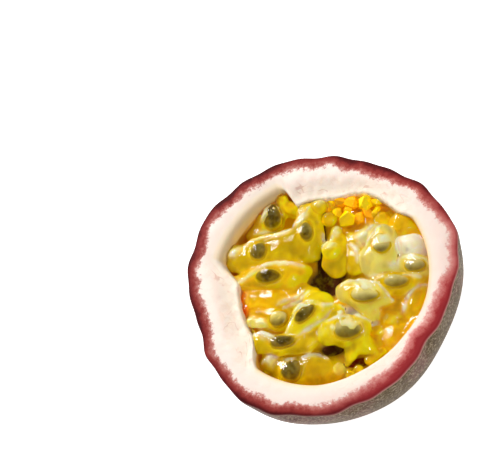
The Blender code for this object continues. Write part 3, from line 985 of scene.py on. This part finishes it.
def skin_material():
    n = Nodes("passion_skin")
    where = n.place()
    broad = n.noise(where, 9.0, 3)
    patch = n.noise(where, 2.6, 4, 0.6)
    speckle = n.noise(where, 0.6, 3, 0.75)
    fine = n.noise(where, 0.45, 3, 0.75)
    olive, mauve = (0.085, 0.055, 0.020), (0.150, 0.068, 0.052)
    brown, pale = (0.035, 0.014, 0.007), (0.33, 0.25, 0.16)
    side = n.between(n.value("near"), 0.0, 1.0, 0.12, -0.16)
    colour = n.mix(n.between(n.plus(broad, side), 0.35, 0.55), olive, mauve)
    colour = n.mix(n.between(patch, 0.5, 0.72, 0.0, 0.7), colour, brown)
    colour = n.mix(n.between(speckle, 0.5, 0.6, 0.0, 0.75), colour, pale)
    colour = n.mix(n.between(fine, 0.52, 0.62, 0.0, 0.75), colour, brown)
    colour = n.mix(n.between(n.value("rind"), -0.35, -0.05, 0.0, 0.7), colour, pale)
    n.set(Base_Color=colour, Roughness=0.5, Normal=n.bump(n.plus(speckle, patch), 0.15, 0.6))
    n.set(Specular_IOR_Level=0.04, Sheen_Weight=0.08, Sheen_Roughness=0.5, Sheen_Tint=(0.9, 0.85, 0.8, 1.0))
    return n.material


def torn_pith(n, where, pith, share):
    """Mottled pith with curly lines where it is torn, painted brighter there as painted light on the sloping
    face, and darkening down the wall towards the jelly, partly staining and partly painted shade.
    """
    torn = n.value("torn")
    # Painted light: the torn, sloping pith is painted brighter
    lit = n.times(torn, n.between(share, 0.2, 0.6))
    pith = n.mix(lit, pith, n.mix(1.0, pith, (1.10, 1.10, 1.07), "MULTIPLY"))
    mottle = n.times(torn, n.between(n.noise(where, 1.5, 4, 0.7), 0.48, 0.62, 0.0, 0.35))
    pith = n.mix(n.times(mottle, n.between(share, 0.25, 0.5)), pith, (0.84, 0.62, 0.48))
    line = n.add("ShaderNodeCombineXYZ", {0: n.times(n.value("around"), 0.08), 1: n.times(share, 3.5)})
    crack = n.math("ABSOLUTE", n.math("SUBTRACT", n.noise(line.outputs[0], 0.8, 1, 0.5), 0.5))
    crack = n.between(crack, 0.004, 0.022, 0.55, 0.0)
    crack = n.times(crack, n.between(n.noise(where, 3.0, 2), 0.42, 0.6))
    crack = n.times(crack, n.between(share, 0.35, 0.6))
    crack = n.times(crack, n.times(torn, n.between(share, 1.2, 1.8, 1.0, 0.0)))
    pith = n.mix(crack, pith, (0.66, 0.36, 0.27))
    # Darker down the wall, from cream to brown: partly staining, partly painted shade
    stain_and_shade = n.math("SUBTRACT", share, n.times(torn, 1.2))
    for start, end, colour in (
        (0.72, 1.0, (0.84, 0.60, 0.27)),
        (0.9, 1.8, (0.80, 0.42, 0.055)),
        (1.8, 4.5, (0.72, 0.27, 0.010)),
    ):
        pith = n.mix(n.between(stain_and_shade, start, end), pith, colour)
    return pith


def red_band(n, inward, near, nearest):
    """The band under the skin, from dark outside to rose inside, with painted light and shade: lighter at the
    near side and darker at the far side.
    """
    # Lighter copies of the tones for the near side, as painted light
    far_tones = ((0.085, 0.010, 0.011), (0.21, 0.022, 0.021), (0.35, 0.052, 0.043), (0.60, 0.20, 0.165))
    near_tones = ((0.34, 0.030, 0.034), (0.44, 0.068, 0.065), (0.56, 0.16, 0.145), (0.68, 0.33, 0.29))
    colour, *inner = [n.mix(nearest, *pair) for pair in zip(far_tones, near_tones)]
    for (start, end), tone in zip(((0.0, 0.9), (0.5, 1.5), (1.3, 2.4)), inner):
        colour = n.mix(n.between(inward, start, end), colour, tone)
    return n.mix(1.0, colour, n.between(near, -1.0, 1.0, *BAND_SHADE), "MULTIPLY")


def pith_material():
    n = Nodes("passion_pith")
    where = n.place()
    edge, share, near = n.value("rind"), n.value("inner"), n.value("near")
    nearest = n.between(near, 0.3, 0.95)
    grain = n.noise(where, 0.28, 3, 0.7)
    ragged_line = n.noise(where, 1.0, 5, 0.7)
    wander = n.noise(where, 6.0, 2)
    inward = n.plus(n.value("band"), n.between(wander, 0.3, 0.7, -0.4, 0.4))
    feather = n.plus(n.between(ragged_line, 0.3, 0.7, -0.5, 0.5), n.between(grain, 0.3, 0.7, -0.2, 0.2))
    inward = n.plus(inward, n.times(feather, n.between(edge, 0.3, 2.6, 0.2, 1.0)))
    white, blush, cream = (0.86, 0.715, 0.635), (0.84, 0.61, 0.53), (0.88, 0.79, 0.63)
    pith = n.mix(n.between(n.noise(where, 2.2, 4, 0.65), 0.5, 0.8, 0.0, 0.5), white, blush)
    pith = n.mix(n.between(share, 0.4, 1.0, 0.0, 0.65), pith, cream)
    pith = torn_pith(n, where, pith, share)
    # Painted shade: the pith is darker and pinker towards the near side
    pith = n.mix(n.between(near, 0.2, 1.0, 0.0, 0.5), pith, n.mix(1.0, pith, (0.88, 0.78, 0.76), "MULTIPLY"))
    colour = n.mix(n.between(inward, 2.2, 3.0), red_band(n, inward, near, nearest), pith)
    # The seam at the cut edge, painted lighter at the near side as painted light
    seam = n.mix(nearest, (0.22, 0.085, 0.080), (0.42, 0.17, 0.16))
    colour = n.mix(n.between(edge, 0.0, 0.3), seam, colour)
    n.set(Base_Color=colour, Roughness=0.5, Subsurface_Weight=0.2, Subsurface_Scale=0.001)
    n.set(Specular_IOR_Level=n.between(inward, 1.5, 3.0, 0.02, 0.15), Subsurface_Radius=(1.0, 0.5, 0.35))
    n.set(Normal=n.bump(n.plus(grain, ragged_line), 0.1, 0.4))
    return n.material


def gel_material():
    n = Nodes("passion_gel")
    where = n.place()
    streak = n.noise(where, 0.7, 4, 0.65, (1.6, 0.7, 1.0))
    colour = n.mix(n.between(streak, 0.52, 0.72, 0.0, 0.25), n.colour("tint"), (1.0, 0.97, 0.7))
    n.set(Base_Color=colour, Roughness=0.06, IOR=1.37, Transmission_Weight=1.0)
    n.set(Normal=n.bump(n.noise(where, 1.2, 4, 0.6), 0.3, 0.5))
    return n.material


def core_material():
    n = Nodes("passion_core")
    where = n.place()
    cloud = n.noise(where, 2.2, 3, 0.6)
    colour = n.mix(n.between(cloud, 0.45, 0.8, 0.0, 0.25), n.colour("tint"), (0.97, 0.80, 0.02))
    n.set(Base_Color=colour, Roughness=0.45, Subsurface_Weight=0.7, Subsurface_Scale=0.002)
    n.set(Specular_IOR_Level=0.0)
    n.set(Subsurface_Radius=(1.0, 0.7, 0.1), Normal=n.bump(n.noise(where, 1.0, 3), 0.3, 0.5))
    # Painted light: the core shines by itself in its own colour
    n.set(Emission_Color=colour, Emission_Strength=PAINTED_GLOW)
    return n.material


def gem_material():
    n = Nodes("passion_gem")
    where = n.place()
    cloud = n.noise(where, 0.9, 3, 0.6)
    colour = n.mix(n.between(cloud, 0.45, 0.75, 0.0, 0.3), n.colour("tint"), (0.97, 0.74, 0.02))
    n.set(Base_Color=colour, Roughness=0.1, Subsurface_Weight=0.6, Subsurface_Scale=0.001)
    n.set(Subsurface_Radius=(1.0, 0.6, 0.1), Normal=n.bump(cloud, 0.05, 0.4))
    # Painted light: the gems shine by themselves in their own colour
    n.set(Emission_Color=colour, Emission_Strength=PAINTED_GLOW)
    return n.material


def seed_material():
    n = Nodes("passion_seed")
    where = n.place()
    pits = n.noise(where, 0.5, 2)
    dark, olive, edge = (0.065, 0.042, 0.001), (0.265, 0.170, 0.001), (0.82, 0.60, 0.002)
    heart = n.plus(n.value("heart"), n.between(n.noise(where, 1.8, 2, 0.5), 0.3, 0.7, -0.35, 0.15))
    colour = n.mix(n.between(heart, 0.05, 0.6, 0.0, 0.85), olive, dark)
    pale = n.math("ADD", n.value("paleness_and_lit_side"), n.between(n.noise(where, 1.2, 2), 0.3, 0.7, -0.06, 0.06), True)
    colour = n.mix(pale, colour, (0.97, 0.84, 0.34))
    colour = n.mix(n.between(n.value("heart"), 0.0, 0.2), edge, colour)
    n.set(Base_Color=colour, Roughness=0.4, Normal=n.bump(pits, 0.04, 0.4), Specular_IOR_Level=0.0)
    n.set(Subsurface_Weight=0.3, Subsurface_Scale=0.0006, Subsurface_Radius=(1.0, 0.8, 0.2))
    return n.material


# The pieces


def skin_ring(degrees, steep):
    """A ring of the skin, at an angle up from the pole."""
    lean = math.radians(steep)
    drop = (SKIN_DEPTH - EDGE_ROUND) * math.cos(lean)
    near_cut = fade(0, CRINKLE_FADE, drop)
    lobes = waves(degrees, LOBES) + swelling(degrees, SWELLINGS)
    radius = RIM_RADIUS + math.sin(lean) ** 2 * lobes + near_cut * waves(degrees, CRINKLES)
    ring = on_circle(degrees, radius * math.sin(lean), CUT_HEIGHT - EDGE_ROUND - drop)
    dents = np.array([noise.noise(Vector(point) / DENT_SPACING) for point in ring])
    return ring * (1 + DENT_HEIGHT * dents * (1 - near_cut) * math.sin(lean) / RIM_RADIUS)[:, None]


def on_circle(degrees, radius, height):
    turn = np.radians(degrees)
    return np.stack([radius * np.cos(turn), radius * np.sin(turn), height + 0 * turn], axis=-1)


def tornness(degrees):
    """How torn the pith is at a direction, from 0 to 1."""
    return np.clip(stretches(degrees, 0) / 2.0, 0, 1)


def ragged(degrees, depth):
    """How far the torn edge of the pith wanders at a direction and a depth."""
    spots = on_circle(degrees, CAVITY_RADIUS, 0.6 * depth)
    swing = 0.7 * value_noise(spots, 2.1, 41) + 0.4 * value_noise(spots, 0.7, 42)
    return TORN_SWING * swing * tornness(degrees) * fade(0.4 * TORN_REACH, TORN_REACH, depth)


def shell_rings(turn):
    """Rings of the skin, the cut face and the hollow's wall, and how many of them are skin.

    With them come each point's distance in from the skin and its share of the way over the face.
    """
    start = math.degrees(math.acos((CUT_HEIGHT - EDGE_ROUND) / (SKIN_DEPTH - EDGE_ROUND)))
    rings, rind, inner = [], [], []

    def put(ring, distance, share):
        rings.append(ring)
        rind.append(np.broadcast_to(distance, SECTORS))
        inner.append(np.broadcast_to(share, SECTORS))

    foot = skin_ring(turn, start)
    foot[:, 2] = 0
    put(foot, OUTSIDE, 0.0)
    for steep in np.linspace(start, 90, SKIN_RINGS)[1:]:
        put(skin_ring(turn, steep), -(90 - steep) / 2, 0.0)
    skin_rings = len(rings)
    rim = np.hypot(rings[-1][:, 0], rings[-1][:, 1])
    shoulder = EDGE_ROUND * (1 - math.sqrt(0.5))
    put(on_circle(turn, rim - shoulder, CUT_HEIGHT - shoulder), 0.2, 0.0)
    *soft, more = SMOOTH_LIP
    bend_size = INNER_ROUND + more * plateau(turn, *soft)
    outer, even_lip = rim - EDGE_ROUND, cavity_radius(turn, 0) + bend_size
    lip = even_lip + ragged(turn, 0)
    for share in np.linspace(0, 1, FACE_RINGS):
        radius = outer + (lip - outer) * share
        over = np.clip((outer - radius) / (outer - even_lip), 0, 1)
        ring = on_circle(turn, radius, face_height(turn, over))
        rough = 0.04 + 0.05 * tornness(turn) * smoothstep(0.3, 0.8, share)
        ring[:, 2] += rough * value_noise(ring, 1.3, 43) * smoothstep(0.0, 0.15, share)
        put(ring, rim - radius, 0.8 * share)
    edge = rings[-1][:, 2]
    for lean in LIP_LEANS:
        bend = math.radians(lean)
        radius = lip - bend_size * math.sin(bend)
        put(on_circle(turn, radius, edge - bend_size * (1 - math.cos(bend))), 6.0, 0.8 + lean / 450)
    low_lip = edge - bend_size
    for depth in WALL_DEPTHS:
        height = low_lip - depth * (low_lip - CUT_HEIGHT + CAVITY_DEPTH) / CAVITY_DEPTH
        radius = cavity_radius(turn, CUT_HEIGHT - height) + ragged(turn, depth)
        put(on_circle(turn, radius, height), 7.0 + depth, 1.0 + depth)
    return rings, np.concatenate(rind), np.concatenate(inner), skin_rings


def build_shell():
    """The rind with its pith, and the numbers that their materials read."""
    turn = np.arange(SECTORS) * 360 / SECTORS
    rings, rind, inner, skin_rings = shell_rings(turn)
    points, faces = closed_rings(rings, (0, 0, 0), (0, 0, CUT_HEIGHT - CAVITY_DEPTH))
    shell = add_mesh("fruit_shell", points, faces, [skin_material(), pith_material()])
    around = np.append(np.tile((turn - GRAIN_START) % 360, len(rings)), (0, 0))
    degrees = (around + GRAIN_START) % 360
    rind = np.append(rind, (OUTSIDE, DEEPEST))
    marks = {
        "rind": rind,
        "inner": np.append(inner, (0.0, DEEPEST)),
        "around": around,
        "band": rind - swelling(degrees, BAND_CHANGES),
        "near": np.cos(np.radians(degrees - NEAREST)),
        "torn": tornness(degrees),
    }
    for name, values in marks.items():
        set_value(shell, name, values)
    for face in shell.data.polygons:
        face.material_index = int(min(face.vertices) >= (skin_rings - 1) * SECTORS)
    return shell


def place_seeds():
    """Each seed set at its depth in the heap."""
    tops = heap_tops([seed[:2] for seed in SEEDS.values()])
    for top, (name, (x, y, cover, half, wide, turn, pale)) in zip(tops, list(SEEDS.items())):
        centre = np.array([x, y, top - cover - SEED_FLAT * wide])
        SEEDS[name] = {"centre": centre, "half": half, "wide": wide, "turn": turn, "pale": pale}


def build_heap():
    """The gel that the light goes through and the cloudy core inside it."""
    (points, faces), core_shape = heap_meshes()
    gel = add_mesh("pulp_gel", points, faces, [gel_material()])
    tint = blend_tones(points)[0] ** 0.12
    # The gel is whitened where the painted highlights and cream edges lie
    set_colour(gel, "tint", tint + (1 - tint) * 0.8 * milk_and_highlight_cover(points)[:, None])
    points, faces = core_shape
    core = add_mesh("pulp_core", points, faces, [core_material()])
    normals = np.array([vertex.normal for vertex in core.data.vertices])
    set_colour(core, "tint", core_tones(points, normals))
    return [gel, core]


def build_bed():
    """The juice under the heap, down to the bottom of the hollow."""
    turn = np.arange(SECTORS // 2) * 720 / SECTORS
    rings = []
    for depth in BED_DEPTHS:
        radius = cavity_radius(turn, depth) - WALL_GAP
        rings.append(on_circle(turn, radius, CUT_HEIGHT - depth + WALL_GAP))
    middle = (0, 0, CUT_HEIGHT - GEL_BOTTOM + 0.3)
    points, faces = closed_rings(rings, (0, 0, CUT_HEIGHT - CAVITY_DEPTH + 0.4), middle)
    bed = add_mesh("pulp_bed", points, faces, [core_material()])
    set_colour(bed, "tint", np.tile(TONES["bed"], (len(points), 1)))
    return bed


def build_seeds():
    """The seeds, each with how near its heart a point lies as seen from above."""
    points, faces, hearts, pale = [], [], [], []
    for seed in SEEDS.values():
        spin = Matrix.Rotation(math.radians(seed["turn"]), 3, "Z")
        middle = Vector(seed["centre"])
        half, wide = seed["half"], seed["wide"]
        rings = []
        for i in range(1, SEED_ROWS):
            turn = math.pi * i / SEED_ROWS
            girth = wide * math.sin(turn) * (1 + 0.18 * math.cos(turn))
            ring = []
            for j in range(SEED_SIDES):
                side = 2 * math.pi * j / SEED_SIDES
                spot = (-half * math.cos(turn), girth * math.cos(side), SEED_FLAT * girth * math.sin(side))
                ring.append(spin @ Vector(spot) + middle)
                hearts.append(1.0 - math.hypot(math.cos(turn), math.sin(turn) * math.cos(side)))
                away = ring[-1] - middle
                # Painted light: paler on the side towards the light, darker on the side away from it
                lit = (away.x * PAINTED_LIT_SIDE[0] + away.y * PAINTED_LIT_SIDE[1]) / wide
                pale.append(seed["pale"] * (0.15 + smoothstep(-0.9, 0.5, lit)))
            rings.append(np.array(ring))
        ends = [spin @ Vector((end * half, 0, 0)) + middle for end in (-1, 1)]
        some, quads = closed_rings(rings, *ends)
        first = sum(map(len, points))
        faces += [[corner + first for corner in quad] for quad in quads]
        points.append(some)
        hearts += [0.0, 0.0]
        pale += [0.5 * seed["pale"]] * 2
    seeds = add_mesh("seeds", np.concatenate(points), faces, [seed_material()])
    set_value(seeds, "heart", hearts)
    set_value(seeds, "paleness_and_lit_side", np.clip(pale, 0, 1))
    return seeds


def gem_shape(shaped, halves):
    """The hull of a few corners spread over a ball, with soft edges."""
    gem = bmesh.new()
    for i in range(GEM_CORNERS):
        height = 1 - (2 * i + 1) / GEM_CORNERS
        around = 2.4 * i + shaped.uniform(-0.5, 0.5)
        flat = math.sqrt(1 - height * height)
        way = np.array([flat * math.cos(around), flat * math.sin(around), height])
        gem.verts.new(way * halves * shaped.uniform(0.85, 1.15))
    hull = bmesh.ops.convex_hull(gem, input=gem.verts)
    loose = {thing for thing in hull["geom_interior"] if isinstance(thing, bmesh.types.BMVert)}
    bmesh.ops.delete(gem, geom=list(loose), context="VERTS")
    bmesh.ops.bevel(gem, geom=gem.edges, offset=GEM_EDGE, segments=2, profile=0.6, affect="EDGES")
    bmesh.ops.recalc_face_normals(gem, faces=gem.faces)
    gem.normal_update()
    gem.verts.index_update()
    points = np.array([corner.co for corner in gem.verts])
    normals = np.array([corner.normal for corner in gem.verts])
    faces = [[corner.index for corner in face.verts] for face in gem.faces]
    gem.free()
    return points, normals, faces


def build_gems():
    """The angular pieces of jelly, each facet in a tone of its own, with painted light on the facets that
    face away from the light.
    """
    shaped = np.random.default_rng(8)
    points, faces, tones = [], [], []
    for number, (x, y, depth, *halves, turn, name) in enumerate(GEMS):
        some, normals, sides = gem_shape(shaped, halves)
        spin = np.array(Matrix.Rotation(math.radians(turn), 3, "Z"))
        some, normals = some @ spin.T + (x, y, CUT_HEIGHT - depth), normals @ spin.T
        first = sum(map(len, points))
        faces += [[corner + first for corner in side] for side in sides]
        points.append(some)
        away = -(normals[:, 0] * LIGHT_FROM[0] + normals[:, 1] * LIGHT_FROM[1])
        # Each facet's tone varies at random, and the facets facing away from the light are painted brighter,
        # as painted light coming through
        facet_tone_and_lit_side = 0.85 + 0.4 * value_noise(normals + 5 * number, 0.8, 61) + 0.2 * smoothstep(0, 0.8, away)
        tones.append(np.clip(np.outer(facet_tone_and_lit_side, TONES[name]) * (1, 0.92, 1), 0.0005, 0.97))
    gems = add_mesh("pulp_gems", np.concatenate(points), faces, [gem_material()], smooth=False)
    set_colour(gems, "tint", np.concatenate(tones))
    return gems


def outline_centre():
    """The middle of the solid's outline, which sits over the origin."""
    turn = np.arange(0, 360, 0.25)
    spots = on_circle(turn, RIM_RADIUS + waves(turn, LOBES) + waves(turn, CRINKLES), 0.0)
    middle = (spots.min(axis=0) + spots.max(axis=0)) / 2 * MM
    return Vector((middle[0], middle[1], 0))


# The studio

VIEW_HEIGHT = 62
VIEW_ROLL = 40
VIEW_DISTANCE = 700
FRAME_WIDTH = 99.4
FLOOR_REACH = 3  # in metres
SUBJECT_SHIFT = (16.4, -11.65)  # where the cut's middle lies from the picture's middle, right and up


def build_camera(cut_middle):
    """The camera, at its height over the cut and rolled, with the cut off the picture's middle."""
    height, roll = math.radians(VIEW_HEIGHT), math.radians(VIEW_ROLL)
    forward = Vector((0, math.cos(height), -math.sin(height)))
    level_right, level_up = Vector((1, 0, 0)), Vector((0, math.sin(height), math.cos(height)))
    right = level_right * math.cos(roll) - level_up * math.sin(roll)
    up = level_right * math.sin(roll) + level_up * math.cos(roll)
    target = cut_middle - (right * SUBJECT_SHIFT[0] + up * SUBJECT_SHIFT[1]) * MM
    camera = bpy.data.cameras.new("camera")
    camera.sensor_width = 36
    camera.lens = camera.sensor_width * VIEW_DISTANCE / FRAME_WIDTH
    thing = bpy.data.objects.new("camera", camera)
    bpy.context.scene.collection.objects.link(thing)
    turned = Matrix((right, up, -forward)).transposed().to_4x4()
    thing.matrix_world = Matrix.Translation(target - forward * VIEW_DISTANCE * MM) @ turned
    bpy.context.scene.camera = thing


def area_light(name, place, size, watts):
    light = bpy.data.lights.new(name, "AREA")
    light.energy = watts
    light.shape = "DISK"
    light.size = size
    thing = bpy.data.objects.new(name, light)
    thing.location = place
    thing.rotation_euler = (-Vector(place)).to_track_quat("-Z", "Y").to_euler()
    bpy.context.scene.collection.objects.link(thing)


def build_studio():
    """Even light all round, a key light from the far side and a small fill from the near side."""
    world = bpy.data.worlds.new("studio")
    world.use_nodes = True
    background = world.node_tree.nodes["Background"]
    background.inputs["Color"].default_value = (1, 1, 1, 1)
    background.inputs["Strength"].default_value = 0.2
    bpy.context.scene.world = world
    area_light("key", (-0.06, 0.42, 0.36), 0.19, 4.1)
    area_light("fill", (0.15, -0.42, 0.3), 0.1, 0.9)


def build_floor():
    mesh = bpy.data.meshes.new("floor")
    far = FLOOR_REACH
    mesh.from_pydata([(-far, -far, 0), (far, -far, 0), (far, far, 0), (-far, far, 0)], [], [(0, 1, 2, 3)])
    floor = bpy.data.objects.new("floor", mesh)
    bpy.context.scene.collection.objects.link(floor)
    n = Nodes("floor_paint")
    grain = n.noise(n.place(), 40.0, 2)
    n.set(Base_Color=n.mix(grain, (0.93, 0.93, 0.93), (0.95, 0.95, 0.95)), Roughness=0.8)
    n.set(Emission_Color=(1, 1, 1, 1), Emission_Strength=0.8)
    mesh.materials.append(n.material)


def set_render():
    view = bpy.context.scene.view_settings
    view.view_transform = "Standard"
    cycles = bpy.context.scene.cycles
    cycles.use_denoising = True
    cycles.max_bounces = 24
    cycles.diffuse_bounces = 10
    cycles.glossy_bounces = 8
    cycles.transmission_bounces = 20


def main():
    shell = build_shell()
    place_seeds()
    lay_membranes()
    pulp = [build_bed(), build_seeds(), build_gems(), *build_heap()]
    shift = -outline_centre()
    for piece in (shell, *pulp):
        piece.data.transform(Matrix.Translation(shift))
        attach(piece, "root")
    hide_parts("shell")
    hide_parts("pulp")
    build_studio()
    build_floor()
    set_render()
    build_camera(shift + Vector((0, 0, CUT_HEIGHT * MM)))


main()
